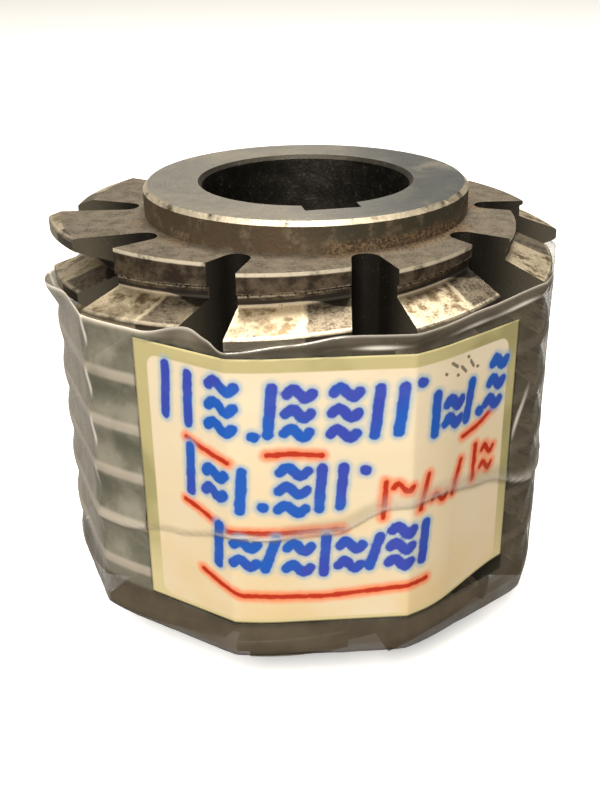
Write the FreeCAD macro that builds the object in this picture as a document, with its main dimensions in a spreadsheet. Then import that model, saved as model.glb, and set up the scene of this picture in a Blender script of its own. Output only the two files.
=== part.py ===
"""Gear hob of module 2.5 in its stores wrapping: the hob, its paper label and a band of clear tape.

The hob is one piece of high-speed steel: a single-start, right-hand worm of rack-shaped teeth,
cut through by straight gashes into rows of backed-off teeth, between two plain hub collars,
with a ground bore and a keyway.  The label lies over three rows of teeth, and the tape runs
once round the teeth, flat from one row's cutting edge to the next.

Frame: millimetres, +Z up along the bore, origin at the centre of the lower hub face.
"""
import FreeCAD
import Part
import Sketcher
import math
import os
from FreeCAD import Placement, Rotation, Vector

# The driving dimensions: alias, value, what it is.
DIMENSIONS = [
    ("overall_length", "70", "over both hub faces"),
    ("outer_diameter", "80", "over the cutting edges"),
    ("bore_diameter", "32", "arbor bore"),
    ("hub_diameter", "50", "plain collar at each end"),
    ("hub_length", "4.4", "collar length at each end"),
    ("hub_chamfer", "0.65", "outer corner of each collar"),
    ("bore_chamfer", "0.6", "mouth of the bore"),
    ("keyway_width", "8", "arbor key"),
    ("keyway_depth", "2.8", "keyway floor below the bore wall"),
    ("keyway_angle", "-78.2", "direction of the keyway from +X, degrees"),
    ("gear_module", "2.5", "normal module"),
    ("pressure_angle", "20", "flank angle, degrees"),
    ("lead_angle", "1.983", "thread lead angle, 1 degree 59 minutes"),
    ("tooth_depth", "6.25", "crest to root at the cutting face"),
    ("tip_corner", "0.28", "corner broken at each side of a crest"),
    ("stump_height", "0.45", "what is left of a dressed-off end tooth"),
    ("row_count", "10", "rows of teeth"),
    ("first_row_angle", "-105.44", "cutting face of the first row from +X, degrees"),
    ("first_row_crest", "57.75", "height of one crest's middle on the first row"),
    ("relief_drop", "4", "radial backing-off from one row to the next"),
    ("gash_depth", "13.9", "cutting edge to gash floor"),
    ("gash_angle", "22", "cutting face to the back of the next row, degrees"),
    ("gash_radius", "2", "floor of the gash"),
    ("core_margin", "1.5", "solid core below the lowest backed-off root"),
    ("label_thickness", "0.12", "paper"),
    ("label_length", "60.2", "round the outer diameter"),
    ("label_height", "41", "along the axis"),
    ("label_base", "15.1", "lower edge above the lower hub face"),
    ("label_lead", "15.3", "left edge to the first row, round the outer diameter"),
    ("tape_thickness", "0.1", "clear film"),
    ("tape_width", "48.6", "along the axis"),
    ("tape_base", "9.3", "lower edge above the lower hub face"),
    ("wrap_gap", "0.08", "air between crest and label at the cutting edge"),
    ("layer_gap", "0.02", "air between label and tape"),
]

# Where each layer of the wrap touches a backed-off crest, as shares of the pitch between rows.
CONTACT_SHARES = (0.0, 1 / 6, 1 / 3)
# A row is swept from a little ahead of its cutting face, in degrees, and the gashes trim it.
LEAD_IN_ANGLE = 3
SWEEP_ANGLE = 33

doc = FreeCAD.newDocument("GearHob")
sheet = doc.addObject("Spreadsheet::Sheet", "Sizes")
for row, (alias, value, meaning) in enumerate(DIMENSIONS, start=1):
    sheet.set(f"A{row}", meaning)
    sheet.set(f"B{row}", value)
    sheet.setAlias(f"B{row}", alias)
doc.recompute()


def size(alias):
    """One driving dimension as a number."""
    return float(sheet.get(alias))


def cell(text):
    """An expression written with bare aliases, each turned into its sheet reference."""
    for alias, _, _ in DIMENSIONS:
        text = text.replace(f"<{alias}>", f"Sizes.{alias}")
    return text


def origin_feature(body, role):
    """A plane or axis of a body's own origin, found by its role."""
    return next(feature for feature in body.Origin.OriginFeatures if feature.Role == role)


def new_sketch(body, name, role, turn=None):
    """A sketch on one of the body's origin planes, turned about the axis by a bound angle."""
    sketch = body.newObject("Sketcher::SketchObject", name)
    sketch.AttachmentSupport = [(origin_feature(body, role), "")]
    sketch.MapMode = "FlatFace"
    if turn:
        sketch.setExpression("AttachmentOffset.Rotation.Angle", cell(turn))
    return sketch


def bind(sketch, kind, where, expression):
    """One dimension constraint of a sketch, driven by the sheet."""
    value = float(sheet.evalExpression(cell(expression)))
    if kind == "Angle":
        value = math.radians(value)
    index = sketch.addConstraint(Sketcher.Constraint(kind, *where, value))
    sketch.setExpression(f"Constraints[{index}]", cell(expression))


def add_polygon(sketch, corners):
    """A closed outline through corners given as pairs of expressions."""
    points = [
        Vector(float(sheet.evalExpression(cell(x))), float(sheet.evalExpression(cell(y))), 0)
        for x, y in corners
    ]
    count = len(points)
    for index in range(count):
        sketch.addGeometry(Part.LineSegment(points[index], points[(index + 1) % count]))
    for index in range(count):
        sketch.addConstraint(Sketcher.Constraint("Coincident", index, 2, (index + 1) % count, 1))
    for index, (x, y) in enumerate(corners):
        bind(sketch, "DistanceX", (-1, 1, index, 1), x)
        bind(sketch, "DistanceY", (-1, 1, index, 1), y)


# ---------------------------------------------------------------- the turned blank
def turned_blank():
    """The envelope of the hob as it leaves the lathe: collars, toothed length and bore."""
    body = doc.addObject("PartDesign::Body", "Blank")
    sketch = new_sketch(body, "BlankProfile", "XZ_Plane")
    bore = "<bore_diameter> / 2"
    hub = "<hub_diameter> / 2"
    rim = "<outer_diameter> / 2 + <gear_module>"
    top = "<overall_length>"
    add_polygon(sketch, [
        (f"{bore} + <bore_chamfer>", "0"),
        (f"{hub} - <hub_chamfer>", "0"),
        (hub, "<hub_chamfer>"),
        (hub, "<hub_length>"),
        (rim, "<hub_length>"),
        (rim, f"{top} - <hub_length>"),
        (hub, f"{top} - <hub_length>"),
        (hub, f"{top} - <hub_chamfer>"),
        (f"{hub} - <hub_chamfer>", top),
        (f"{bore} + <bore_chamfer>", top),
        (bore, f"{top} - <bore_chamfer>"),
        (bore, "<bore_chamfer>"),
    ])
    turning = body.newObject("PartDesign::Revolution", "Turning")
    turning.Profile = sketch
    turning.ReferenceAxis = (sketch, ["V_Axis"])
    turning.Angle = 360
    return body


# ---------------------------------------------------------------- the rows of teeth
def axial_pitch():
    """Distance between neighbouring crests along the axis."""
    return math.pi * size("gear_module") / math.cos(math.radians(size("lead_angle")))


def flank_slope():
    """Half the width that a tooth gains for each millimetre below its crest."""
    return math.tan(math.radians(size("pressure_angle")))


def half_width(below_crest):
    """Half a tooth's width: half a crest flat, widened by the flanks below it."""
    half_crest = axial_pitch() / 4 - size("tooth_depth") / 2 * flank_slope()
    return half_crest + below_crest * flank_slope()


def relief_axis():
    """The offset axis that a row backs off about, seen from its cutting face along +X.

    Backing-off is a steady spiral; over the short length of one row it is the spiral's own
    circle of curvature at the cutting edge.
    """
    crest = size("outer_diameter") / 2
    fall = size("relief_drop") * size("row_count") / (2 * math.pi * crest)
    radius = crest * (1 + fall ** 2) ** 1.5 / (1 + 2 * fall ** 2)
    angle = math.atan(fall)
    return Vector(crest - radius * math.cos(angle), -radius * math.sin(angle), 0), angle


def backed_off(corners):
    """A section of (radius in the cutting face, height) corners, swept about the relief axis."""
    axis, angle = relief_axis()
    points = [Vector(math.hypot(radius - axis.x, axis.y), 0, height) for radius, height in corners]
    face = Part.Face(Part.makePolygon(points + [points[0]]))
    swept = face.revolve(Vector(), Vector(0, 0, 1), SWEEP_ANGLE)
    swept.rotate(Vector(), Vector(0, 0, 1), math.degrees(angle) - LEAD_IN_ANGLE)
    swept.translate(axis)
    return swept


def tooth_heights(row):
    """Every crest on one row, and how tall its tooth stands.

    Only a tooth whose whole crest lies within the toothed length is full; the feather-edged
    ends of the thread are dressed down to stumps, as on the finished tool.
    """
    low = size("hub_length")
    high = size("overall_length") - size("hub_length")
    pitch = axial_pitch()
    middle = size("first_row_crest") + pitch * row / size("row_count")
    middle -= pitch * math.floor((middle - low + pitch) / pitch)
    while middle < high + pitch:
        full = low < middle - half_width(0) and middle + half_width(0) < high
        yield middle, size("tooth_depth") if full else size("stump_height")
        middle += pitch


def tooth(middle, height):
    """One rack-shaped tooth, its root sunk into the row, tilted to the thread's lead angle."""
    crest = size("outer_diameter") / 2
    depth = size("tooth_depth")
    below = depth - height
    tip = size("tip_corner") if height == depth else 0
    sunk = depth + size("core_margin")
    side = [
        (crest - sunk, half_width(sunk)),
        (crest - below - tip, half_width(below + tip)),
        (crest - below, half_width(below) - tip * (1 - flank_slope())),
    ]
    if not tip:
        side.pop(1)
    upper = [(radius, middle + offset) for radius, offset in side]
    lower = [(radius, middle - offset) for radius, offset in reversed(side)]
    solid = backed_off(upper + lower)
    solid.rotate(Vector(0, 0, middle), Vector(1, 0, 0), size("lead_angle"))
    return solid


def core_radius():
    """The solid core stays under the lowest root at the back of a row."""
    root = size("outer_diameter") / 2 - size("tooth_depth")
    return root - size("relief_drop") - size("core_margin")


def row_of_teeth(row):
    """One row: its backed-off root carries its teeth, each a pitch above the last."""
    root = size("outer_diameter") / 2 - size("tooth_depth")
    inner = core_radius() - size("core_margin")
    top = size("overall_length")
    carrier = backed_off([(inner, 0), (root, 0), (root, top), (inner, top)])
    teeth = [tooth(middle, height) for middle, height in tooth_heights(row)]
    feature = doc.addObject("Part::Feature", f"Row{row}")
    feature.Shape = carrier.multiFuse(teeth)
    start = size("first_row_angle") + 360 / size("row_count") * row
    feature.Placement = Placement(Vector(), Rotation(Vector(0, 0, 1), start))
    return feature


def toothed_blank(blank):
    """Core and rows joined, then trimmed to the turned blank."""
    core = doc.addObject("Part::Cylinder", "Core")
    core.setExpression("Radius", cell(
        "<outer_diameter> / 2 - <tooth_depth> - <relief_drop> - <core_margin>"))
    core.setExpression("Height", cell("<overall_length>"))
    rows = [row_of_teeth(row) for row in range(round(size("row_count")))]
    joined = doc.addObject("Part::MultiFuse", "CoreAndRows")
    joined.Shapes = [core] + rows
    trimmed = doc.addObject("Part::Common", "ToothedBlank")
    trimmed.Base = blank
    trimmed.Tool = joined
    return trimmed


# ---------------------------------------------------------------- the hob
def cut_gashes(body):
    """Straight gashes: a radial cutting face, a rounded floor and the sloping back of a row."""
    sketch = new_sketch(body, "GashProfile", "XY_Plane", "<first_row_angle>")
    radius = size("gash_radius")
    angle = math.radians(size("gash_angle"))
    outer = size("outer_diameter") / 2 + size("gear_module")
    centre_x = size("outer_diameter") / 2 - size("gash_depth") + radius
    vertex_x = centre_x - radius / math.tan(angle / 2)
    touch_x = centre_x - radius * math.sin(angle)
    touch_y = -radius - radius * math.cos(angle)
    face_line = (Vector(outer, 0, 0), Vector(centre_x, 0, 0))
    back_line = (Vector(touch_x, touch_y, 0), Vector(outer, (vertex_x - outer) * math.tan(angle), 0))
    circle = Part.Circle(Vector(centre_x, -radius, 0), Vector(0, 0, 1), radius)
    sketch.addGeometry(Part.LineSegment(*face_line))
    sketch.addGeometry(Part.ArcOfCircle(circle, math.pi / 2, 3 * math.pi / 2 - angle))
    sketch.addGeometry(Part.LineSegment(*back_line))
    sketch.addGeometry(Part.LineSegment(back_line[1], face_line[0]))
    sketch.addConstraint(Sketcher.Constraint("Tangent", 0, 2, 1, 1))
    sketch.addConstraint(Sketcher.Constraint("Tangent", 1, 2, 2, 1))
    sketch.addConstraint(Sketcher.Constraint("Coincident", 2, 2, 3, 1))
    sketch.addConstraint(Sketcher.Constraint("Coincident", 3, 2, 0, 1))
    sketch.addConstraint(Sketcher.Constraint("PointOnObject", 0, 1, -1))
    sketch.addConstraint(Sketcher.Constraint("PointOnObject", 0, 2, -1))
    sketch.addConstraint(Sketcher.Constraint("Vertical", 3))
    bind(sketch, "Radius", (1,), "<gash_radius>")
    bind(sketch, "DistanceX", (-1, 1, 1, 3), "<outer_diameter> / 2 - <gash_depth> + <gash_radius>")
    bind(sketch, "DistanceX", (-1, 1, 0, 1), "<outer_diameter> / 2 + <gear_module>")
    bind(sketch, "Angle", (2,), "-<gash_angle>")
    gash = body.newObject("PartDesign::Pocket", "Gash")
    gash.Profile = sketch
    gash.Reversed = True
    gash.setExpression("Length", cell("<overall_length>"))
    gashes = body.newObject("PartDesign::PolarPattern", "Gashes")
    gashes.Originals = [gash]
    gashes.Axis = (origin_feature(body, "Z_Axis"), [""])
    gashes.Angle = 360
    gashes.setExpression("Occurrences", cell("<row_count>"))
    body.Tip = gashes
    return gash, gashes


def cut_keyway(body):
    """A square keyway the length of the bore, broken out of the bore wall."""
    sketch = new_sketch(body, "KeywayProfile", "XY_Plane", "<keyway_angle>")
    floor = "<bore_diameter> / 2 + <keyway_depth>"
    half = "<keyway_width> / 2"
    add_polygon(sketch, [
        ("0", f"-{half}"),
        (floor, f"-{half}"),
        (floor, half),
        ("0", half),
    ])
    keyway = body.newObject("PartDesign::Pocket", "Keyway")
    keyway.Profile = sketch
    keyway.Reversed = True
    keyway.setExpression("Length", cell("<overall_length>"))
    body.Tip = keyway
    return keyway


def gear_hob():
    """The finished tool: toothed blank, gashes and keyway."""
    trimmed = toothed_blank(turned_blank())
    doc.recompute()
    body = doc.addObject("PartDesign::Body", "Hob")
    body.BaseFeature = trimmed
    doc.recompute()
    blank_volume = trimmed.Shape.Volume
    gash, gashes = cut_gashes(body)
    doc.recompute()
    one_gash = blank_volume - gash.Shape.Volume
    all_gashes = blank_volume - gashes.Shape.Volume
    keyway = cut_keyway(body)
    doc.recompute()
    keyway_volume = gashes.Shape.Volume - keyway.Shape.Volume
    print(f"gash {one_gash:.0f} mm3, all {all_gashes:.0f} mm3, keyway {keyway_volume:.0f} mm3")
    if min(one_gash, all_gashes - one_gash, keyway_volume) <= 0:
        raise RuntimeError("a gash or the keyway cuts nothing")
    return body


# ---------------------------------------------------------------- the wrap
def wrap_point(row, share, offset):
    """A point over a crest: a row, a share of the pitch behind its edge, and a height above."""
    radius = f"(<outer_diameter> / 2 - <relief_drop> * {share} + {offset})"
    angle = f"((<first_row_angle> + ({row} + {share}) * 360 / <row_count>) * 1 deg)"
    return f"{radius} * cos({angle})", f"{radius} * sin({angle})"


def wrap_ring(name, gap, thickness, width, base):
    """A thin layer round the rows: one flat stretch from fold to fold, repeated for each row."""
    body = doc.addObject("PartDesign::Body", name)
    sketch = new_sketch(body, f"{name}Stretch", "XY_Plane")
    outer = f"{gap} + {thickness}"
    stops = [(0, share) for share in CONTACT_SHARES] + [(1, 0.0)]
    add_polygon(sketch, [wrap_point(row, share, gap) for row, share in stops]
                + [wrap_point(row, share, outer) for row, share in reversed(stops)])
    stretch = body.newObject("PartDesign::Pad", f"{name}Pad")
    stretch.Profile = sketch
    stretch.setExpression("Length", cell(width))
    ring = body.newObject("PartDesign::PolarPattern", f"{name}Round")
    ring.Originals = [stretch]
    ring.Axis = (origin_feature(body, "Z_Axis"), [""])
    ring.Angle = 360
    ring.setExpression("Occurrences", cell("<row_count>"))
    body.Tip = ring
    body.setExpression("Placement.Base.z", cell(base))
    return body


def paper_label():
    """The label: the part of its layer that lies in its own sector of the circumference."""
    layer = wrap_ring(
        "LabelLayer", "<wrap_gap>", "<label_thickness>", "<label_height>", "<label_base>")
    sector = doc.addObject("Part::Cylinder", "LabelSector")
    degrees = "/ (<outer_diameter> / 2) * 180 / pi"
    sector.setExpression("Radius", cell("<outer_diameter>"))
    sector.setExpression("Height", cell("<overall_length>"))
    sector.setExpression("Angle", cell(f"<label_length> {degrees}"))
    sector.setExpression("Placement.Rotation.Angle", cell(
        f"<first_row_angle> - <label_lead> {degrees}"))
    label = doc.addObject("Part::Common", "Label")
    label.Base = layer
    label.Tool = sector
    return label


def clear_tape():
    """The film, wound once round over the label and the crests."""
    gap = "(<wrap_gap> + <label_thickness> + <layer_gap>)"
    return wrap_ring("Tape", gap, "<tape_thickness>", "<tape_width>", "<tape_base>")


# ---------------------------------------------------------------- build, check and write
parts = {
    "gear_hob": gear_hob(),
    "paper_label": paper_label(),
    "clear_tape": clear_tape(),
}
doc.recompute()
for item in doc.Objects:
    if {"Invalid", "Error"} & set(item.State):
        raise RuntimeError(f"{item.Name} failed: {item.State}")
for name, item in parts.items():
    item.Label = name
    shape = item.Shape
    if shape.isNull() or not shape.isValid() or len(shape.Solids) != 1:
        raise RuntimeError(f"{name} is not one valid solid")
    box = shape.optimalBoundingBox()
    print(f"{name}: {shape.Volume / 1000:.2f} cm3, {len(shape.Faces)} faces, "
          f"x {box.XMin:.2f} {box.XMax:.2f}, y {box.YMin:.2f} {box.YMax:.2f}, "
          f"z {box.ZMin:.2f} {box.ZMax:.2f}")

os.makedirs("parts", exist_ok=True)
for name, item in parts.items():
    item.Shape.exportStep(os.path.join("parts", f"{name}.step"))
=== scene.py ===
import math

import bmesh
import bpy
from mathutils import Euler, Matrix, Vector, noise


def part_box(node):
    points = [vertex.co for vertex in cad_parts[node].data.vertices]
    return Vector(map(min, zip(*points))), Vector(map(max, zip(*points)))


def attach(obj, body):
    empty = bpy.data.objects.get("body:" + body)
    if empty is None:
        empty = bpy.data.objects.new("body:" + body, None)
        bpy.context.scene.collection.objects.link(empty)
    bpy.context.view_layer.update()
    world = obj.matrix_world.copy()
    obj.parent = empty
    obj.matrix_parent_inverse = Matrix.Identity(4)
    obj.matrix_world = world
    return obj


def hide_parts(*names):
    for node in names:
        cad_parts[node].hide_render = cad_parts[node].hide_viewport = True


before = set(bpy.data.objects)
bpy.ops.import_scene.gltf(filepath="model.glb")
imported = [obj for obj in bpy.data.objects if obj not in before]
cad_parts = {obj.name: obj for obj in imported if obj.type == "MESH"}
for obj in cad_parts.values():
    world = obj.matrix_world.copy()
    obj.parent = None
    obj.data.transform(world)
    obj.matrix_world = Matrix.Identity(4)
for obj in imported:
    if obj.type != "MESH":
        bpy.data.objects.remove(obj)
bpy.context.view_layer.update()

# %% [markdown]
# # A gear hob in its stores wrapping
# A gear hob is a worm with teeth: a thread of rack-shaped teeth is wound round a steel body,
# and straight gashes cut it into rows, each with a sharp cutting face and a backed-off top.
# This one waits in a store with a paper label and a band of clear tape round its teeth.
# The steel body comes from the construction model as it is. What is added here is its finish,
# the bent paper with its ink marks, and the wrinkled film, which are too thin and too soft to
# be worth more than plain sleeves in the construction model.

MM = 0.001
hob_low, hob_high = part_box("gear_hob")
tape_low, tape_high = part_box("clear_tape")
label_low, label_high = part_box("paper_label")
hob_height = hob_high.z - hob_low.z
outer_radius = 40 * MM
print(f"hob {hob_height / MM:.1f} mm tall, tape {tape_low.z / MM:.1f} to {tape_high.z / MM:.1f} mm")

# %% [markdown]
# ## The rows of teeth, as numbers
# The wrapping touches the teeth only along their crests, so its shape follows from where the
# ten cutting edges stand and how fast each row backs off behind its edge. The same numbers
# place the wear on the steel. They are written once, and everything later reads them.

# %% Where the rows and the thread lie
ROWS = 10
ROW_PITCH = 360 / ROWS
FIRST_ROW = -105.44
RELIEF = 4 * MM
THREAD_PITCH = 7.859 * MM
FIRST_CREST = 57.75 * MM
HALF_CREST = 0.83 * MM
CONTACT = ROW_PITCH / 3


def fold_angle(row):
    """Direction of a row's cutting edge from +X, in degrees."""
    return FIRST_ROW + ROW_PITCH * row


def taut_radius(past_edge):
    """Radius of a taut wrapping at an angle past a cutting edge: on the crest, then straight."""
    if past_edge <= CONTACT:
        return outer_radius - RELIEF * past_edge / ROW_PITCH
    start = Vector((outer_radius - RELIEF * CONTACT / ROW_PITCH, 0)).to_3d()
    end = Vector((outer_radius, 0, 0))
    start.rotate(Euler((0, 0, math.radians(CONTACT))))
    end.rotate(Euler((0, 0, math.radians(ROW_PITCH))))
    along = (end - start).normalized()
    normal = Vector((along.y, -along.x, 0))
    ray = Vector((math.cos(math.radians(past_edge)), math.sin(math.radians(past_edge)), 0))
    return normal.dot(start) / normal.dot(ray)


def crest_offset(turned, height):
    """Distance along the axis to the nearest crest, at an angle past the first row."""
    climbed = (height - FIRST_CREST) / THREAD_PITCH - turned / 360
    return (climbed - round(climbed)) * THREAD_PITCH


def smooth(value, low, high):
    """0 below low, 1 above high, and an easy curve between."""
    share = min(max((value - low) / (high - low), 0), 1)
    return share * share * (3 - 2 * share)


def bump(value, middle, reach):
    """A smooth hill that is 1 at its middle and 0 beyond its reach."""
    return 1 - smooth(abs(value - middle), 0, reach)


def along_points(points, where):
    """A smooth reading between given (where, value) points."""
    if where <= points[0][0]:
        return points[0][1]
    for (low, first), (high, second) in zip(points, points[1:]):
        if where <= high:
            return first + (second - first) * smooth(where, low, high)
    return points[-1][1]


print(f"taut radius at the edge {taut_radius(0) / MM:.2f} mm, half-way {taut_radius(18) / MM:.2f} mm")

# %% [markdown]
# ## Camera
# The tool stands on its lower collar and is seen from a little above, near enough that the
# collar and the keyway show as wide ovals. The camera is set by its place and three turns.

# %% The camera
CAMERA_PLACE = Vector((0, -163.5, 109.0)) * MM
LENS = 47.95
PITCH_DOWN = 25.2
TURN_LEFT = 0.45
ROLL = -0.73

camera = bpy.data.objects.new("camera", bpy.data.cameras.new("camera"))
camera.data.lens = LENS
camera.data.clip_start, camera.data.clip_end = 0.01, 20
camera.matrix_world = (
    Matrix.Translation(CAMERA_PLACE)
    @ Matrix.Rotation(math.radians(TURN_LEFT), 4, "Z")
    @ Matrix.Rotation(math.radians(90 - PITCH_DOWN), 4, "X")
    @ Matrix.Rotation(math.radians(ROLL), 4, "Z")
)
bpy.context.scene.collection.objects.link(camera)
bpy.context.scene.camera = camera
print(f"camera {CAMERA_PLACE.length / MM:.0f} mm from the origin")

# %% [markdown]
# ## Small helpers for shader nodes
# A finish is a chain of small sums: how far from the axis, how near an edge, how dirty. Each
# helper adds one node and hands back its output, so that a finish reads as a list of steps.

# %% Node helpers
def add_node(tree, kind, settings=None, **inputs):
    """One node, with its settings, and with its inputs set or linked by socket name."""
    node = tree.nodes.new(kind)
    for name, value in (settings or {}).items():
        setattr(node, name, value)
    for name, value in inputs.items():
        socket = node.inputs[name.replace("_", " ")]
        if isinstance(value, bpy.types.NodeSocket):
            tree.links.new(value, socket)
        else:
            socket.default_value = value
    return node


def calc(tree, operation, *values):
    """A Math node on one, two or three numbers or sockets."""
    node = tree.nodes.new("ShaderNodeMath")
    node.operation = operation
    for socket, value in zip(node.inputs, values):
        if isinstance(value, bpy.types.NodeSocket):
            tree.links.new(value, socket)
        else:
            socket.default_value = value
    return node.outputs[0]


def ease(tree, value, low, high):
    """0 below low and 1 above high, smoothly; low above high turns it round."""
    node = add_node(tree, "ShaderNodeMapRange", {"interpolation_type": "SMOOTHSTEP"}, Value=value)
    if low < high:
        ends = (low, high, 0, 1)
    else:
        ends = (high, low, 1, 0)
    for name, end in zip(("From Min", "From Max", "To Min", "To Max"), ends):
        node.inputs[name].default_value = end
    return node.outputs["Result"]


def blend(tree, share, first, second):
    """Mix two colours by a share."""
    node = tree.nodes.new("ShaderNodeMix")
    node.data_type = "RGBA"
    for index, value in ((0, share), (6, first), (7, second)):
        socket = node.inputs[index]
        if isinstance(value, bpy.types.NodeSocket):
            tree.links.new(value, socket)
        elif index == 0:
            socket.default_value = value
        else:
            socket.default_value = (*value, 1)
    return node.outputs[2]


def both(tree, first, *others):
    """Where every mask holds."""
    for other in others:
        first = calc(tree, "MULTIPLY", first, other)
    return first


def either(tree, first, *others):
    """Where any mask holds."""
    for other in others:
        first = calc(tree, "MAXIMUM", first, other)
    return first


def near(tree, value, middle, reach):
    """1 at a middle value, fading to 0 at a reach on both sides."""
    return ease(tree, calc(tree, "ABSOLUTE", calc(tree, "SUBTRACT", value, middle)), reach, reach * 0.4)


def pattern(tree, place, scale, detail=3, roughness=0.55):
    """Cloudy noise, 0 to 1, with about scale patches to the metre."""
    return add_node(tree, "ShaderNodeTexNoise", Vector=place, Scale=scale, Detail=detail,
                    Roughness=roughness).outputs["Fac"]


def make_group(name, inputs, outputs):
    """An empty shader node group with number or vector inputs and number outputs."""
    group = bpy.data.node_groups.new(name, "ShaderNodeTree")
    for label, kind in inputs:
        group.interface.new_socket(label, in_out="INPUT", socket_type=kind)
    for label, kind in outputs:
        group.interface.new_socket(label, in_out="OUTPUT", socket_type=kind)
    entry = group.nodes.new("NodeGroupInput")
    leave = group.nodes.new("NodeGroupOutput")
    return group, entry, leave


def use_group(tree, group, **inputs):
    """Place a group in a material and feed it."""
    node = tree.nodes.new("ShaderNodeGroup")
    node.node_tree = group
    for name, value in inputs.items():
        socket = node.inputs[name.replace("_", " ")]
        if isinstance(value, bpy.types.NodeSocket):
            tree.links.new(value, socket)
        else:
            socket.default_value = value
    return node.outputs


def new_material(name):
    """A node material with one Principled shader, its tree, and where the object's place comes from."""
    material = bpy.data.materials.new(name)
    material.use_nodes = True
    tree = material.node_tree
    tree.nodes.clear()
    shader = tree.nodes.new("ShaderNodeBsdfPrincipled")
    output = tree.nodes.new("ShaderNodeOutputMaterial")
    tree.links.new(shader.outputs[0], output.inputs["Surface"])
    place = tree.nodes.new("ShaderNodeTexCoord").outputs["Object"]
    return material, tree, shader, place


def feed(tree, shader, **inputs):
    """Link or set the Principled shader's inputs by name."""
    for name, value in inputs.items():
        socket = shader.inputs[name.replace("_", " ")]
        if isinstance(value, bpy.types.NodeSocket):
            tree.links.new(value, socket)
        else:
            socket.default_value = value


print("node helpers ready")

# %% [markdown]
# ## Where on the hob a point lies
# Both the steel and the film change with the thread: a crest is ground bright, a gash is
# black with old oil and painted shade. One group turns a place on the object into the tool's own terms, in
# millimetres and degrees, so that every finish can ask for a row, a crest or a gash.

# %% The position group
position, entry, leave = make_group(
    "hob_position",
    [("Place", "NodeSocketVector")],
    [(name, "NodeSocketFloat") for name in ("Radius", "Height", "Past Edge", "Crest Offset", "Depth")])
axes = add_node(position, "ShaderNodeSeparateXYZ", Vector=entry.outputs["Place"]).outputs
x_mm, y_mm, z_mm = [calc(position, "DIVIDE", axis, MM) for axis in axes]
squares = calc(position, "ADD", calc(position, "MULTIPLY", x_mm, x_mm), calc(position, "MULTIPLY", y_mm, y_mm))
radius_mm = calc(position, "SQRT", squares)
direction = calc(position, "DEGREES", calc(position, "ARCTAN2", y_mm, x_mm))
turned = calc(position, "FLOORED_MODULO", calc(position, "SUBTRACT", direction, FIRST_ROW), 360)
past_edge = calc(position, "FLOORED_MODULO", turned, ROW_PITCH)
climbed = calc(position, "SUBTRACT",
               calc(position, "DIVIDE", calc(position, "SUBTRACT", z_mm, FIRST_CREST / MM), THREAD_PITCH / MM),
               calc(position, "DIVIDE", turned, 360))
nearest = calc(position, "SUBTRACT", climbed, calc(position, "ROUND", climbed))
crest_radius = calc(position, "SUBTRACT", outer_radius / MM,
                    calc(position, "MULTIPLY", past_edge, RELIEF / MM / ROW_PITCH))
for name, value in (("Radius", radius_mm), ("Height", z_mm), ("Past Edge", past_edge),
                    ("Crest Offset", calc(position, "MULTIPLY", nearest, THREAD_PITCH / MM)),
                    ("Depth", calc(position, "SUBTRACT", crest_radius, radius_mm))):
    position.links.new(value, leave.inputs[name])
print(f"{position.name}: {len(position.nodes)} nodes")

# %% [markdown]
# ## Hardened steel, ground, oiled and stored
# High-speed steel is ground bright on the front half of each row and left rough behind it. The
# gashes hold black oil, painted darker with depth as shade, old grease and rust sit at the foot of
# each collar, and every corner that rubs is worn bright, with painted highlights on the edges. A
# painted shadow lies in the thread's groove and a painted dark reflection on one side of the
# collar top. The finish is built as masks first: each says where one kind of surface is, from the
# way the surface faces and from its place on the tool. The colours are then laid over each
# other in the order in which they came to be on the real tool.

# %% Which way the steel faces
steel, tree, shader, place = new_material("hob_steel")
spot = use_group(tree, position, Place=place)
facing = tree.nodes.new("ShaderNodeNewGeometry").outputs["True Normal"]
facing_up = calc(tree, "ABSOLUTE", add_node(tree, "ShaderNodeSeparateXYZ", Vector=facing).outputs["Z"])
tangent = add_node(tree, "ShaderNodeVectorMath", {"operation": "CROSS_PRODUCT"})
tangent.inputs[0].default_value = (0, 0, 1)
tree.links.new(place, tangent.inputs[1])
tangent = add_node(tree, "ShaderNodeVectorMath", {"operation": "NORMALIZE"}, Vector=tangent.outputs[0])
turn_share = add_node(tree, "ShaderNodeVectorMath", {"operation": "DOT_PRODUCT"})
tree.links.new(facing, turn_share.inputs[0])
tree.links.new(tangent.outputs[0], turn_share.inputs[1])
facing_round = calc(tree, "ABSOLUTE", turn_share.outputs["Value"])
upright = ease(tree, facing_up, 0.5, 0.3)
print("facing masks ready")

# %% Noise at three scales
blotches = pattern(tree, place, 95, detail=4)
mottle = pattern(tree, place, 430, detail=5, roughness=0.65)
grit = pattern(tree, place, 2300, detail=2, roughness=0.7)
rings = add_node(tree, "ShaderNodeTexNoise", {"noise_dimensions": "1D"}, W=spot["Radius"], Scale=3.4,
                 Detail=4).outputs["Fac"]
grit_and_sparkle = ease(tree, grit, 0.42, 0.62)
dark_specks = both(tree, ease(tree, grit, 0.60, 0.68), ease(tree, mottle, 0.45, 0.58))
print("noise: blotches, mottle, grit and turning rings")

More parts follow.
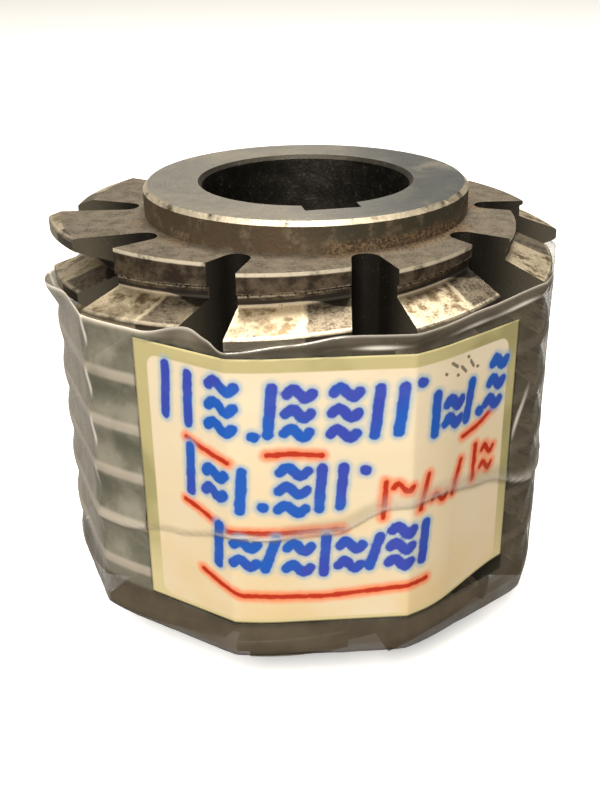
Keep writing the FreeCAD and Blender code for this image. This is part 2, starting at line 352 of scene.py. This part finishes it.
# %% Where each kind of surface is
COLLAR_RADIUS, TOOTHED_FROM, FACE_HEIGHT = 25.0, 26.5, 30.6
on_collar = ease(tree, spot["Radius"], 25.6, 25.3)
beyond_collar = ease(tree, spot["Radius"], 25.1, 25.3)
collar_top = both(tree, ease(tree, facing_up, 0.9, 0.98), ease(tree, spot["Radius"], 25.2, 25.0))
collar_wall = both(tree, upright, on_collar, ease(tree, spot["Radius"], 23.5, 24))
end_face = both(tree, ease(tree, facing_up, 0.985, 0.998), beyond_collar)
chamfer = both(tree, ease(tree, facing_up, 0.4, 0.6), ease(tree, facing_up, 0.95, 0.85))
rim = both(tree, chamfer, ease(tree, spot["Radius"], 24.0, 24.2), on_collar)
bore = both(tree, ease(tree, facing_up, 0.95, 0.85), ease(tree, spot["Radius"], 20, 19.6))
gash_wall = both(tree, ease(tree, facing_round, 0.5, 0.72), ease(tree, spot["Radius"], 25.4, 25.8))
gash_floor = both(tree, upright, ease(tree, spot["Past Edge"], 25.8, 26.6), ease(tree, spot["Radius"], 25.4, 25.8))
gash = either(tree, gash_wall, gash_floor)
land = both(tree, ease(tree, spot["Radius"], TOOTHED_FROM, 27.5), calc(tree, "SUBTRACT", 1, gash))
ragged_edge = calc(tree, "ADD", spot["Past Edge"], calc(tree, "MULTIPLY", mottle, 3.0))
ground = both(tree, land, ease(tree, ragged_edge, 16.6, 16.2))
ground_lip = both(tree, land, near(tree, ragged_edge, 16.3, 0.9))
flank = both(tree, land, ease(tree, facing_up, 0.6, 0.85), ease(tree, facing_up, 0.99, 0.97))
root = both(tree, land, upright, ease(tree, spot["Depth"], 3.2, 4.4))
crest = both(tree, land, upright, ease(tree, spot["Depth"], 1.4, 0.8))
middle_height = hob_height / MM / 2
face_distance = calc(tree, "ABSOLUTE", calc(tree, "SUBTRACT", spot["Height"], middle_height))
print("surface masks ready")

# %% Lay the colours
# Rough land first, then the ground flanks.
aged = blend(tree, ease(tree, mottle, 0.35, 0.66), (0.065, 0.050, 0.034), (0.21, 0.175, 0.125))
bright = blend(tree, ease(tree, mottle, 0.36, 0.55), (0.20, 0.145, 0.085), (0.66, 0.57, 0.41))
bright = blend(tree, ease(tree, blotches, 0.52, 0.66), bright, (0.21, 0.16, 0.10))
# Light grit specks on the rough land, partly a painted sparkle.
colour = blend(tree, both(tree, grit_and_sparkle, 0.35), aged, (0.45, 0.39, 0.30))
colour = blend(tree, both(tree, ground, flank), colour, bright)
colour = blend(tree, both(tree, ground_lip, flank, 0.6), colour, (0.78, 0.69, 0.51))
# Crests: a dull band, paler where it is ground.
crest_colour = blend(tree, ground, (0.135, 0.115, 0.09), (0.50, 0.445, 0.35))
colour = blend(tree, crest, colour, crest_colour)
# Roots: dark brown with a bright stripe at the foot of the flank and a grainy line above it.
root_colour = blend(tree, ease(tree, mottle, 0.4, 0.65), (0.036, 0.024, 0.015), (0.12, 0.09, 0.058))
colour = blend(tree, root, colour, root_colour)
foot_stripe = both(tree, land, near(tree, spot["Crest Offset"], 3.15, 0.3))
grain_line = both(tree, root, near(tree, spot["Crest Offset"], -3.25, 0.42), ease(tree, grit, 0.38, 0.55))
colour = blend(tree, both(tree, foot_stripe, 0.75), colour, (0.55, 0.48, 0.37))
colour = blend(tree, both(tree, grain_line, 0.9), colour, (0.48, 0.42, 0.33))
# A painted shadow in the groove under the stump: near black, widening towards the heel.
shadow_widening = calc(tree, "MULTIPLY", ease(tree, spot["Past Edge"], 13, 26), 1.1)
from_groove = calc(tree, "ABSOLUTE", calc(tree, "SUBTRACT", spot["Crest Offset"], 3.65))
groove_shadow = both(tree, land, ease(tree, calc(tree, "SUBTRACT", from_groove, shadow_widening), 0.28, 0.12))
colour = blend(tree, both(tree, groove_shadow, 0.9), colour, (0.02, 0.016, 0.012))

# %% Collars, end faces and gashes
top_colour = blend(tree, ease(tree, blotches, 0.42, 0.62), (0.33, 0.30, 0.25), (0.25, 0.245, 0.23))
top_colour = blend(tree, ease(tree, rings, 0.35, 0.7), top_colour, (0.30, 0.285, 0.25))
# The right side of the collar top is painted dark and bluish: a painted reflection.
sideways = add_node(tree, "ShaderNodeSeparateXYZ", Vector=place).outputs["X"]
dark_reflection = both(tree, ease(tree, sideways, -0.002, 0.018), ease(tree, blotches, 0.30, 0.55))
top_colour = blend(tree, both(tree, dark_reflection, 0.85), top_colour, (0.095, 0.105, 0.108))
colour = blend(tree, collar_top, colour, top_colour)
wall_colour = blend(tree, ease(tree, blotches, 0.38, 0.62), (0.095, 0.063, 0.036), (0.060, 0.052, 0.033))
wall_colour = blend(tree, ease(tree, mottle, 0.5, 0.68), wall_colour, (0.15, 0.115, 0.072))
colour = blend(tree, collar_wall, colour, wall_colour)
# The end faces: brown mottle with light grit specks, partly a painted sparkle.
face_colour = blend(tree, ease(tree, mottle, 0.35, 0.65), (0.065, 0.053, 0.038), (0.145, 0.122, 0.090))
face_colour = blend(tree, both(tree, grit_and_sparkle, 0.4), face_colour, (0.25, 0.205, 0.145))
colour = blend(tree, end_face, colour, face_colour)
# Rust and dried grease gather in patches at the foot of each collar.
foot = both(tree, either(tree, near(tree, spot["Radius"], 25.6, 2.6), collar_wall),
            near(tree, face_distance, FACE_HEIGHT + 0.2, 1.9), ease(tree, blotches, 0.44, 0.60))
rust_colour = blend(tree, grit_and_sparkle, (0.075, 0.042, 0.022), (0.30, 0.195, 0.105))
colour = blend(tree, both(tree, foot, 0.6), colour, rust_colour)
colour = blend(tree, both(tree, dark_specks, 0.85), colour, (0.035, 0.022, 0.014))
# Old oil with painted shade: darker with depth into a gash, nearly black deep down, brown towards the crest.
oil_and_depth_shade = blend(tree, ease(tree, spot["Depth"], 10, 0), (0.014, 0.012, 0.009), (0.115, 0.100, 0.072))
dust = both(tree, ease(tree, pattern(tree, place, 3100, detail=1), 0.70, 0.76), ease(tree, blotches, 0.45, 0.6))
oil_and_depth_shade = blend(tree, both(tree, dust, 0.6), oil_and_depth_shade, (0.30, 0.27, 0.21))
colour = blend(tree, gash, colour, oil_and_depth_shade)
colour = blend(tree, both(tree, bore, 0.9), colour, (0.050, 0.047, 0.040))

# %% Corners worn bright, with painted highlights on the rounded edges
end_edge = both(tree, upright, land, ease(tree, face_distance, FACE_HEIGHT - 0.65, FACE_HEIGHT - 0.40))
crest_edge = both(tree, land, ease(tree, spot["Depth"], 0.75, 0.35),
                  near(tree, calc(tree, "ABSOLUTE", spot["Crest Offset"]), 0.98, 0.30))
cutting_edge = both(tree, either(tree, flank, crest), ease(tree, spot["Past Edge"], 0.55, 0.3))
wear_and_edge_highlight = either(tree, rim, end_edge, both(tree, crest_edge, 0.6), both(tree, cutting_edge, 0.4))
wear_and_edge_highlight = both(tree, wear_and_edge_highlight, ease(tree, mottle, 0.28, 0.5))
colour = blend(tree, wear_and_edge_highlight, colour, (0.78, 0.69, 0.53))
print(f"{len(tree.nodes)} nodes so far")

# %% Gloss and grain
dirty = either(tree, both(tree, collar_wall, 0.8), both(tree, end_face, 0.7), both(tree, root, 0.7), dark_specks)
roughness = calc(tree, "ADD", 0.34, calc(tree, "MULTIPLY", mottle, 0.22))
roughness = calc(tree, "ADD", roughness, calc(tree, "MULTIPLY", dirty, 0.22))
roughness = calc(tree, "SUBTRACT", roughness, calc(tree, "MULTIPLY", gash, 0.08))
metal = calc(tree, "SUBTRACT", 1, calc(tree, "MULTIPLY", either(tree, dirty, gash), 0.55))
height = calc(tree, "ADD", calc(tree, "MULTIPLY", grit, 0.5), calc(tree, "MULTIPLY", mottle, 0.6))
height = calc(tree, "ADD", height, calc(tree, "MULTIPLY", both(tree, rings, collar_top), 0.5))
steel_bump = add_node(tree, "ShaderNodeBump", Strength=0.45, Distance=0.00025, Height=height)
feed(tree, shader, Base_Color=colour, Roughness=roughness, Metallic=metal, Normal=steel_bump.outputs["Normal"])

hob = bpy.data.objects["gear_hob"]
for slot in hob.material_slots:
    slot.material = steel
print(f"steel: {len(tree.nodes)} nodes on {hob.name}")

# %% [markdown]
# ## The paper label
# A plain stores label: cream paper with a straw-coloured border and rounded inner corners,
# stuck over three rows, so it is flat between two cutting edges and creased over each. The
# real one is filled in by felt pen. Here the pen marks are made-up strokes and dashes in the
# same blue and red, with the soft bleed that felt pen leaves in thin paper. The sheet starts
# as a fine grid, one vertex every third of a millimetre, because each vertex also stores how
# far it lies from the nearest pen stroke: the finish turns that distance into ink and bleed.

# %% Bend a flat sheet round the rows
def wrap_place(turned, height, stand_off):
    """A place at an angle past the first row, a height, and a distance off the taut line."""
    radius = taut_radius(turned % ROW_PITCH) + stand_off
    direction = math.radians(FIRST_ROW + turned)
    return Vector((radius * math.cos(direction), radius * math.sin(direction), height))


def flat_grid(columns, rows):
    """A grid over the unit square, standing for the flat sheet, facing outwards once wrapped."""
    mesh = bmesh.new()
    bmesh.ops.create_grid(mesh, x_segments=columns, y_segments=rows, size=0.5)
    bmesh.ops.translate(mesh, verts=mesh.verts, vec=(0.5, 0.5, 0))
    return mesh


def finish_piece(mesh, name, material, node, thickness):
    """Turn a shaped sheet into a finished piece of real thickness that stands for a CAD node."""
    data = bpy.data.meshes.new(name)
    mesh.to_mesh(data)
    mesh.free()
    data.shade_smooth()
    piece = bpy.data.objects.new(name, data)
    bpy.context.scene.collection.objects.link(piece)
    data.materials.append(material)
    wall = piece.modifiers.new("thickness", "SOLIDIFY")
    wall.thickness = thickness
    wall.offset = 1
    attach(piece, "root")
    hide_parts(node)
    return piece


LABEL_LEAD = 15.3 * MM
LABEL_LENGTH = 60.2 * MM
LABEL_STAND_OFF = 0.08 * MM
label_height = label_high.z - label_low.z
label_start = -math.degrees(LABEL_LEAD / outer_radius)
label_sweep = math.degrees(LABEL_LENGTH / outer_radius)
print(f"label {LABEL_LENGTH / MM:.1f} x {label_height / MM:.1f} mm, {label_sweep:.1f} degrees of the rim")

# %% [markdown]
# The pen marks are plain shapes in the label's own millimetres, from its lower left corner:
# upright bars, flat swells and dots, set out in three lines with long red underlines. They
# give the label its colour and rhythm, and none of them forms a letter or a figure.

# %% The pen strokes
def bar(x, y, tall, lean=0.0):
    """An upright bar of felt pen, with its middle at a point."""
    return [(x - lean / 2, y - tall / 2), (x + lean / 2, y + tall / 2)]


def swell(x, y, wide, rise=0.7):
    """A flat stroke with one wave in it, starting at a point."""
    return [(x + wide * step / 8, y + rise * math.sin(step / 8 * 2 * math.pi)) for step in range(9)]


def stack(x, y, wide, count, gap=3.0, lean=0.2):
    """Swells one above the other."""
    return [swell(x + lean * level, y + gap * level, wide) for level in range(count)]


def dot(x, y):
    """A touch of the pen."""
    return [(x, y), (x + 0.25, y - 0.1)]


def dash(points):
    """A drawn line through a few points."""
    return list(points)


BLUE_STROKES = [
    bar(5.4, 34.6, 7.4, 0.5), bar(9.2, 34.0, 7.2, 0.3), *stack(12.4, 31.0, 3.6, 3), dot(18.6, 30.0),
    bar(21.0, 33.6, 6.8, 0.6), *stack(22.9, 30.4, 3.4, 3, 2.8),
    *stack(29.2, 30.0, 3.6, 3), bar(35.6, 33.0, 6.8, 0.7), bar(38.8, 33.2, 6.6, 0.7), dot(41.4, 36.8),
    bar(44.0, 31.4, 5.8, 0.3), *stack(45.8, 29.6, 2.8, 2, 2.7), bar(50.4, 31.6, 5.4, 0.9), dot(52.6, 29.4),
    *stack(54.0, 30.0, 2.9, 3, 2.9, 0.5),
    bar(9.0, 23.4, 7.0, 0.3), *stack(11.4, 20.8, 3.0, 2), bar(16.8, 21.6, 6.0, 0.4), dot(19.6, 19.2),
    *stack(21.8, 18.8, 3.8, 3, 2.9), bar(27.8, 21.8, 6.2, 0.5), bar(30.8, 22.0, 6.0, 0.5), dot(34.0, 24.4),
    bar(13.2, 12.6, 6.4, 0.4), *stack(15.4, 10.2, 3.2, 2), bar(20.6, 11.6, 4.8, 1.6), *stack(22.8, 9.2, 3.4, 2, 3.4),
    bar(28.4, 11.2, 5.8, 0.4), *stack(30.4, 9.4, 3.2, 2, 3.2), bar(35.6, 11.4, 4.8, 1.4),
    *stack(37.6, 9.4, 3.0, 3, 2.6), bar(42.8, 12.0, 6.0, 0.5),
]
RED_STROKES = [
    dash([(8.6, 28.2), (11.0, 27.2), (15.2, 25.9)]), dash([(20.4, 27.2), (24.0, 27.3), (28.0, 26.9)]),
    dash([(49.5, 26.4), (52.5, 27.2), (55.8, 29.0)]),
    dash([(7.8, 18.3), (10.6, 17.2), (14.6, 15.1), (22.0, 15.0), (31.0, 15.3)]),
    dash([(10.2, 7.6), (13.0, 6.2), (16.4, 4.7), (28.0, 4.3), (43.5, 5.6)]),
    bar(36.8, 19.6, 5.6, 0.3), swell(38.0, 21.4, 2.6), bar(42.6, 20.0, 5.2, 1.2), swell(44.0, 18.4, 2.6),
    bar(48.6, 20.4, 4.8, 1.5), bar(52.2, 21.4, 5.6, 0.3), *stack(53.6, 20.2, 2.4, 2, 2.6),
]
SPECKS = [
    dash([(46.5, 38.2), (47.6, 37.4)]), dash([(48.4, 37.2), (49.4, 36.2)]), dash([(50.2, 37.6), (50.9, 36.6)]),
    dot(47.6, 36.2), dot(49.6, 38.3), dot(51.6, 36.4), dot(45.4, 36.9),
]


def line_distance(x, y, first, second):
    """Distance from a point to a straight piece of a stroke."""
    dx, dy = second[0] - first[0], second[1] - first[1]
    length = dx * dx + dy * dy
    share = min(max(((x - first[0]) * dx + (y - first[1]) * dy) / length, 0), 1) if length else 0
    return math.hypot(x - first[0] - share * dx, y - first[1] - share * dy)


def stroke_segments(strokes):
    """Every straight piece of the strokes, as a pair of points."""
    pieces = []
    for stroke in strokes:
        points = list(stroke)
        pieces += list(zip(points, points[1:]))
    return pieces


INK_REACH = 3.0


def ink_distance(x, y, pieces):
    """Distance to the nearest stroke, up to where the bleed has died away."""
    nearest = INK_REACH
    for first, second in pieces:
        if (min(first[0], second[0]) - nearest < x < max(first[0], second[0]) + nearest
                and min(first[1], second[1]) - nearest < y < max(first[1], second[1]) + nearest):
            nearest = min(nearest, line_distance(x, y, first, second))
    return nearest


blue_pieces = stroke_segments(BLUE_STROKES)
red_pieces = stroke_segments(RED_STROKES)
speck_pieces = stroke_segments(SPECKS)
print(f"{len(BLUE_STROKES)} blue and {len(RED_STROKES)} red strokes, {len(blue_pieces) + len(red_pieces)} lines")

# %% [markdown]
# The finish reads three numbers from the sheet: distance to blue ink, distance to red ink,
# and distance in from the edge of the inner panel. Ink is darkest at the stroke's own edge,
# and the bleed is a pale halo round it.

# %% The label's finish
label_material, tree, shader, place = new_material("label_paper")


def stored(tree, name):
    """A number stored on the piece's own vertices."""
    return add_node(tree, "ShaderNodeAttribute", {"attribute_name": name}).outputs["Fac"]


blue = stored(tree, "blue_ink")
red = stored(tree, "red_ink")
inside = stored(tree, "panel")
height_share = stored(tree, "height")
fibres = pattern(tree, place, 900, detail=4)
clouds = pattern(tree, place, 70, detail=3)

cream = blend(tree, height_share, (0.74, 0.56, 0.30), (0.80, 0.69, 0.51))
cream = blend(tree, ease(tree, clouds, 0.35, 0.7), cream, (0.76, 0.64, 0.45))
straw = blend(tree, ease(tree, clouds, 0.4, 0.6), (0.36, 0.32, 0.145), (0.50, 0.435, 0.21))
straw = blend(tree, ease(tree, height_share, 0.35, 0.05), straw, (0.66, 0.56, 0.30))
paper = blend(tree, ease(tree, inside, -0.12, 0.18), straw, cream)
wobble = calc(tree, "MULTIPLY", calc(tree, "SUBTRACT", fibres, 0.5), 0.5)
red_edge = calc(tree, "ADD", red, wobble)
blue_edge = calc(tree, "ADD", blue, wobble)
paper = blend(tree, both(tree, ease(tree, red_edge, 1.5, 0.4), 0.8), paper, (0.88, 0.17, 0.05))
paper = blend(tree, ease(tree, red_edge, 0.50, 0.25), paper, (0.46, 0.024, 0.004))
paper = blend(tree, both(tree, ease(tree, blue_edge, 1.7, 0.7), 0.65), paper, (0.20, 0.40, 0.58))
ink = blend(tree, ease(tree, clouds, 0.4, 0.6), (0.008, 0.095, 0.46), (0.035, 0.060, 0.40))
paper = blend(tree, ease(tree, blue_edge, 0.92, 0.62), paper, ink)
paper = blend(tree, both(tree, ease(tree, stored(tree, "specks"), 0.32, 0.18), 0.8), paper, (0.05, 0.045, 0.03))
label_bump = add_node(tree, "ShaderNodeBump", Strength=0.15, Distance=0.0001, Height=fibres)
feed(tree, shader, Base_Color=paper, Roughness=0.55, Specular_IOR_Level=0.35,
     Normal=label_bump.outputs["Normal"])
print(f"label finish: {len(tree.nodes)} nodes")

# %% Make the label
LABEL_STEP = 0.33 * MM
PANEL_MARGINS = {"left": 2.3, "right": 1.9, "top": 1.9, "bottom": 0.7}
PANEL_CORNER = 1.8


def panel_depth(x, y, width, tall):
    """How far inside the rounded inner panel a point lies; negative on the border."""
    left, right = PANEL_MARGINS["left"], width - PANEL_MARGINS["right"]
    low, high = PANEL_MARGINS["bottom"], tall - PANEL_MARGINS["top"]
    across = max(left + PANEL_CORNER - x, x - right + PANEL_CORNER)
    upward = max(low + PANEL_CORNER - y, y - high + PANEL_CORNER)
    if across > 0 and upward > 0:
        return PANEL_CORNER - math.hypot(across, upward)
    return PANEL_CORNER - max(across, upward)


mesh = flat_grid(round(LABEL_LENGTH / LABEL_STEP), round(label_height / LABEL_STEP))
stored_names = ("blue_ink", "red_ink", "specks", "panel", "height")
layers = {name: mesh.verts.layers.float.new(name) for name in stored_names}
width_mm, tall_mm = LABEL_LENGTH / MM, label_height / MM
for vertex in mesh.verts:
    share, rise = vertex.co.x, vertex.co.y
    x, y = share * width_mm, rise * tall_mm
    vertex[layers["blue_ink"]] = ink_distance(x, y, blue_pieces)
    vertex[layers["red_ink"]] = ink_distance(x, y, red_pieces)
    vertex[layers["specks"]] = ink_distance(x, y, speck_pieces)
    vertex[layers["panel"]] = panel_depth(x, y, width_mm, tall_mm)
    vertex[layers["height"]] = rise
    corner_lift = smooth(share, 0.72, 1.0) * smooth(rise, 0.12, 0.0) * 2.6 * MM
    turned = label_start + label_sweep * share
    vertex.co = wrap_place(turned, label_low.z + label_height * rise + corner_lift, LABEL_STAND_OFF)
label = finish_piece(mesh, "paper_label_sheet", label_material, "paper_label", 0.1 * MM)
print(f"label: {len(label.data.polygons)} faces")

# %% [markdown]
# ## The clear tape
# The film is pressed on in one turn. It lies tight on the cutting edges, spans the gashes
# flat, sags a little between the crests, and creases where it was not smoothed down: one
# long wandering crease crosses the label, the upper edge curls into a gash, and a loose lip
# stands off at the left. All of that is in the sheet's shape, as hills and hollows added to
# the taut line, because creases in clear film show only by what they reflect. The glints
# along the crease and the folds are painted into the film's colour as well.

# %% The tape's edges and creases
TAPE_STAND_OFF = 0.22 * MM
TAPE_TOP = [
    (-180, 57.9), (-100, 57.0), (-80, 55.6), (-66, 56.2), (-50, 57.2), (-38, 57.3), (-20, 57.4), (-10, 58.6),
    (-4, 58.0), (0, 57.0), (12, 58.0), (23, 59.0), (36, 58.9), (54, 59.6), (71, 60.3), (100, 58.6), (180, 57.9),
]
CREASE = [
    (-60, 22.5), (-30, 25.3), (-14, 27.6), (0, 29.7), (8, 29.4), (20, 30.0), (33, 33.7), (44, 34.0),
    (56, 32.8), (71, 29.4), (84, 28.5), (100, 30.0),
]
GLINT = [(-40, 0.25), (-6, 0.35), (0, 0.7), (2, 1.0), (7, 0.9), (12, 0.45), (24, 0.5), (40, 0.45), (70, 0.5), (84, 0.3)]
LIP_MIDDLE = -64.0
LIP_REACH = 15.0
FOLDS = (-72, -36, 0, 36, 72)


def half_turn(turned):
    """An angle past the first row, between -180 and 180."""
    return (turned + 180) % 360 - 180


def under_label(angle, height):
    """0 where the film lies on the label, 1 where it spans bare teeth."""
    end = label_start + label_sweep
    across = smooth(angle, label_start - 0.5, label_start) * smooth(-angle, -end - 0.5, -end)
    upward = smooth(height, label_low.z - 0.4 * MM, label_low.z)
    downward = smooth(-height, -label_high.z - 0.4 * MM, -label_high.z)
    return 1 - across * upward * downward


print(f"top edge between {min(h for _, h in TAPE_TOP)} and {max(h for _, h in TAPE_TOP)} mm high")


# %% The tape's shape
def crease_shape(angle, height):
    """The long crease: how high it stands, in millimetres, and how white it shows, with a painted glare on its ridge
    and a pale veil above it.
    """
    here = smooth(angle, -60, -42) * (1 - smooth(angle, 86, 98))
    above = height / MM - along_points(CREASE, angle)
    ridge = math.exp(-((above / 0.5) ** 2)) * here
    shelf = smooth(above, -0.6, 0.4) * (1 - smooth(above, 0.4, 4.5)) * here
    glare = math.exp(-((above / 0.42) ** 2)) * here * along_points(GLINT, angle)
    veil = smooth(above, -0.1, 0.5) * (1 - smooth(above, 0.8, 2.8)) * here
    return 0.30 * ridge + 0.18 * shelf, 0.62 * glare + 0.16 * veil * smooth(angle, 6, 16)


def tape_hills(angle, height, top):
    """How far the film stands off its taut line, in metres, and how white it shows there, painted glints included."""
    bare = under_label(angle, height)
    past_edge = angle % ROW_PITCH
    sag = (1 - math.cos(2 * math.pi * crest_offset(angle, height) / THREAD_PITCH)) / 2
    over_land = 1 - smooth(past_edge, 12, 24) * (1 - smooth(past_edge, 33, 36))
    rise = -sag * bare * (0.16 + 0.34 * over_land)
    cloud = noise.noise(Vector((angle * 0.10, height / MM * 0.18, 3.1)))
    fine = noise.noise(Vector((angle * 0.40, height / MM * 0.25, 8.7)))
    rise += (0.10 * cloud + 0.06 * fine) * (0.4 + 0.6 * bare) * (0.3 + 0.7 * smooth(past_edge, 2, 14))
    below_top = (top - height) / MM
    lip = bump(angle, LIP_MIDDLE, LIP_REACH) * (1 - smooth(below_top, 0, 6))
    curl = bump(angle, -9, 8.5) * (1 - smooth(below_top, 0, 4))
    crease_rise, white = crease_shape(angle, height)
    rise += 1.6 * lip - 1.6 * curl + crease_rise
    second = height / MM - (57.4 + 0.03 * (angle - 36))
    second_ridge = math.exp(-((second / 0.22) ** 2)) * smooth(angle, 14, 30) * (1 - smooth(angle, 66, 74))
    rise += 0.14 * second_ridge
    fold = max(math.exp(-((angle - place) / 0.55) ** 2) for place in FOLDS[:2])
    fold_glint = fold * smooth(height / MM, 26, 38) * (0.5 + 0.5 * math.cos(height / MM * 0.8))
    streak_line = abs(angle - 66 - (height / MM - 40) * 0.55)
    streak = math.exp(-((streak_line / 0.8) ** 2)) * bump(height / MM, 41, 7)
    # Whiteness of the crease, ridge, lip, curl and streak, with painted glints along the first two folds.
    white = max(white, 0.5 * second_ridge, 0.30 * lip, 0.12 * curl, 0.75 * fold_glint * bare, 0.5 * streak * bare)
    return rise * MM, white


def haze_at(angle, height):
    """How milky the film is, and how brown: pale at the left, brown at the right and below."""
    bare = under_label(angle, height)
    left = smooth(-angle, 12, 22)
    low = smooth(-height / MM, -15.4, -14.2)
    return bare * max(0.50 + 0.40 * left, 0.95 * low), bare * max(0.8 * (1 - left), low)


print("tape shape ready")

# %% Make the tape
mesh = flat_grid(540, 84)
haze_layer = mesh.verts.layers.float.new("haze")
crease_and_glint_layer = mesh.verts.layers.float.new("crease")
brown_layer = mesh.verts.layers.float.new("brown")
seam = ROW_PITCH * 5.6 - 360
for vertex in mesh.verts:
    angle = half_turn(seam + (vertex.co.x % 1) * 360 if vertex.co.x < 0.9999 else seam)
    top = along_points(TAPE_TOP, angle) * MM
    height = tape_low.z + (top - tape_low.z) * vertex.co.y
    hills, white = tape_hills(angle, height, top)
    vertex[haze_layer], vertex[brown_layer] = haze_at(angle, height)
    # The stored crease value: crease whitening with painted glints, and a whitish cut edge at the top.
    vertex[crease_and_glint_layer] = max(white, 0.28 * (1 - smooth(top - height, 0, 0.6 * MM)))
    vertex.co = wrap_place(angle, height, TAPE_STAND_OFF + hills)
bmesh.ops.remove_doubles(mesh, verts=mesh.verts, dist=0.00001)
print(f"tape sheet: {len(mesh.verts)} vertices")

# %% [markdown]
# ## Clear film
# Packing film is clear where it is stuck down and milky where it bridges air, and every
# crease and cut edge is whitish, with painted glints along the crease and folds. It is painted
# pale where it touches a crest, the crest showing through with a painted sheen, and paler
# seen side-on, a painted sheen, and grey-green over the dark gaps. One Principled shader
# carries it: the alpha is low on the paper, higher over the gaps, and rises at a grazing view
# as the gloss does.

# %% The tape's finish
film, tree, shader, place = new_material("tape_film")
spot = use_group(tree, position, Place=place)
haze = stored(tree, "haze")
crease = stored(tree, "crease")
brown = stored(tree, "brown")
streaks = pattern(tree, place, 170, detail=4)
clouds = pattern(tree, place, 60, detail=3)
# Over the crests the film is painted paler and more opaque: the crest showing through, and a painted sheen.
crest_contact_sheen = both(tree, ease(tree, calc(tree, "ABSOLUTE", calc(tree, "SUBTRACT", spot["Crest Offset"], 0.35)), 1.15, 0.45), ease(tree, clouds, 0.25, 0.5))
grazing = add_node(tree, "ShaderNodeLayerWeight", Blend=0.3).outputs["Facing"]
milk = calc(tree, "ADD", 0.50, calc(tree, "MULTIPLY", streaks, 0.34))
milk = calc(tree, "ADD", milk, calc(tree, "MULTIPLY", crest_contact_sheen, 0.12))
alpha = calc(tree, "ADD", 0.015, calc(tree, "MULTIPLY", haze, milk))
# Creases and their painted glints make the film more opaque here and near white below.
alpha = calc(tree, "ADD", alpha, calc(tree, "MULTIPLY", crease, 0.85))
alpha = calc(tree, "ADD", alpha, calc(tree, "MULTIPLY", calc(tree, "POWER", grazing, 4), 0.25))
alpha = calc(tree, "MINIMUM", alpha, 0.95)
film_colour = blend(tree, ease(tree, streaks, 0.35, 0.65), (0.20, 0.195, 0.145), (0.34, 0.32, 0.25))
film_colour = blend(tree, both(tree, crest_contact_sheen, 0.8), film_colour, (0.56, 0.49, 0.40))
film_colour = blend(tree, brown, film_colour, blend(tree, streaks, (0.075, 0.058, 0.038), (0.155, 0.125, 0.088)))
# Seen side-on the film is painted paler: a painted sheen.
side_on_sheen = both(tree, ease(tree, grazing, 0.35, 0.85), calc(tree, "SUBTRACT", 1, brown))
film_colour = blend(tree, both(tree, side_on_sheen, haze, 0.7), film_colour, (0.60, 0.53, 0.43))
# Near white where the stored crease value is high: crease whitening and painted glints.
film_colour = blend(tree, ease(tree, crease, 0.05, 0.5), film_colour, (0.92, 0.87, 0.78))
film_bump = add_node(tree, "ShaderNodeBump", Strength=0.3, Distance=0.0003, Height=streaks)
feed(tree, shader, Base_Color=film_colour, Roughness=0.14, Alpha=alpha, Specular_IOR_Level=0.7,
     Normal=film_bump.outputs["Normal"])
tape = finish_piece(mesh, "clear_tape_film", film, "clear_tape", 0.05 * MM)
print(f"tape: {len(tape.data.polygons)} faces")

# %% [markdown]
# ## Floor and light
# The tool stands on a plain pale floor under a broad soft light from above, which is what
# makes the sloping flanks and rims shine while the upright faces stay dark. The floor is kept
# out of the steel's reflections, so that the upright faces reflect a dim room instead.

# %% The floor
floor_mesh = bmesh.new()
bmesh.ops.create_grid(floor_mesh, x_segments=1, y_segments=1, size=6)
floor_data = bpy.data.meshes.new("floor")
floor_mesh.to_mesh(floor_data)
floor_mesh.free()
floor = bpy.data.objects.new("floor", floor_data)
bpy.context.scene.collection.objects.link(floor)
floor_material, tree, shader, place = new_material("floor_paint")
feed(tree, shader, Base_Color=(0.90, 0.90, 0.89, 1), Roughness=0.9, Specular_IOR_Level=0.1,
     Emission_Color=(1.0, 1.0, 0.99, 1), Emission_Strength=0.38)
floor_data.materials.append(floor_material)
floor.visible_glossy = False
floor.visible_diffuse = False
print("floor laid")


# %% The lights
def soft_light(name, place, target, size, power, colour):
    """A square area light that faces its target."""
    data = bpy.data.lights.new(name, "AREA")
    data.size = size
    data.energy = power
    data.color = colour
    light = bpy.data.objects.new(name, data)
    light.location = place
    light.rotation_mode = "QUATERNION"
    light.rotation_quaternion = (Vector(target) - Vector(place)).to_track_quat("-Z", "Y")
    bpy.context.scene.collection.objects.link(light)
    return light


soft_light("overhead", (0.06, 0.30, 0.80), (0, 0, 0.03), 0.34, 5.5, (1.0, 0.94, 0.84))
soft_light("front_top", (-0.10, -0.62, 0.62), (0, 0, 0.03), 0.35, 12.5, (1.0, 0.96, 0.90))
print("lights set")

# %% The room
world = bpy.data.worlds.new("room")
world.use_nodes = True
tree = world.node_tree
way = add_node(tree, "ShaderNodeSeparateXYZ", Vector=add_node(tree, "ShaderNodeTexCoord").outputs["Generated"])
behind = both(tree, ease(tree, way.outputs["Y"], 0.0, 0.7), calc(tree, "SUBTRACT", 1, both(tree, ease(tree, way.outputs["X"], 0.0, 0.6), 0.5)))
low_room = blend(tree, behind, (0.060, 0.052, 0.042), (0.42, 0.39, 0.34))
room = blend(tree, ease(tree, way.outputs["Z"], 0.35, 0.85), low_room, (0.60, 0.55, 0.47))
background = tree.nodes["Background"]
tree.links.new(room, background.inputs["Color"])
background.inputs["Strength"].default_value = 1.0
bpy.context.scene.world = world
bpy.context.scene.view_settings.view_transform = "Standard"
print("room set")
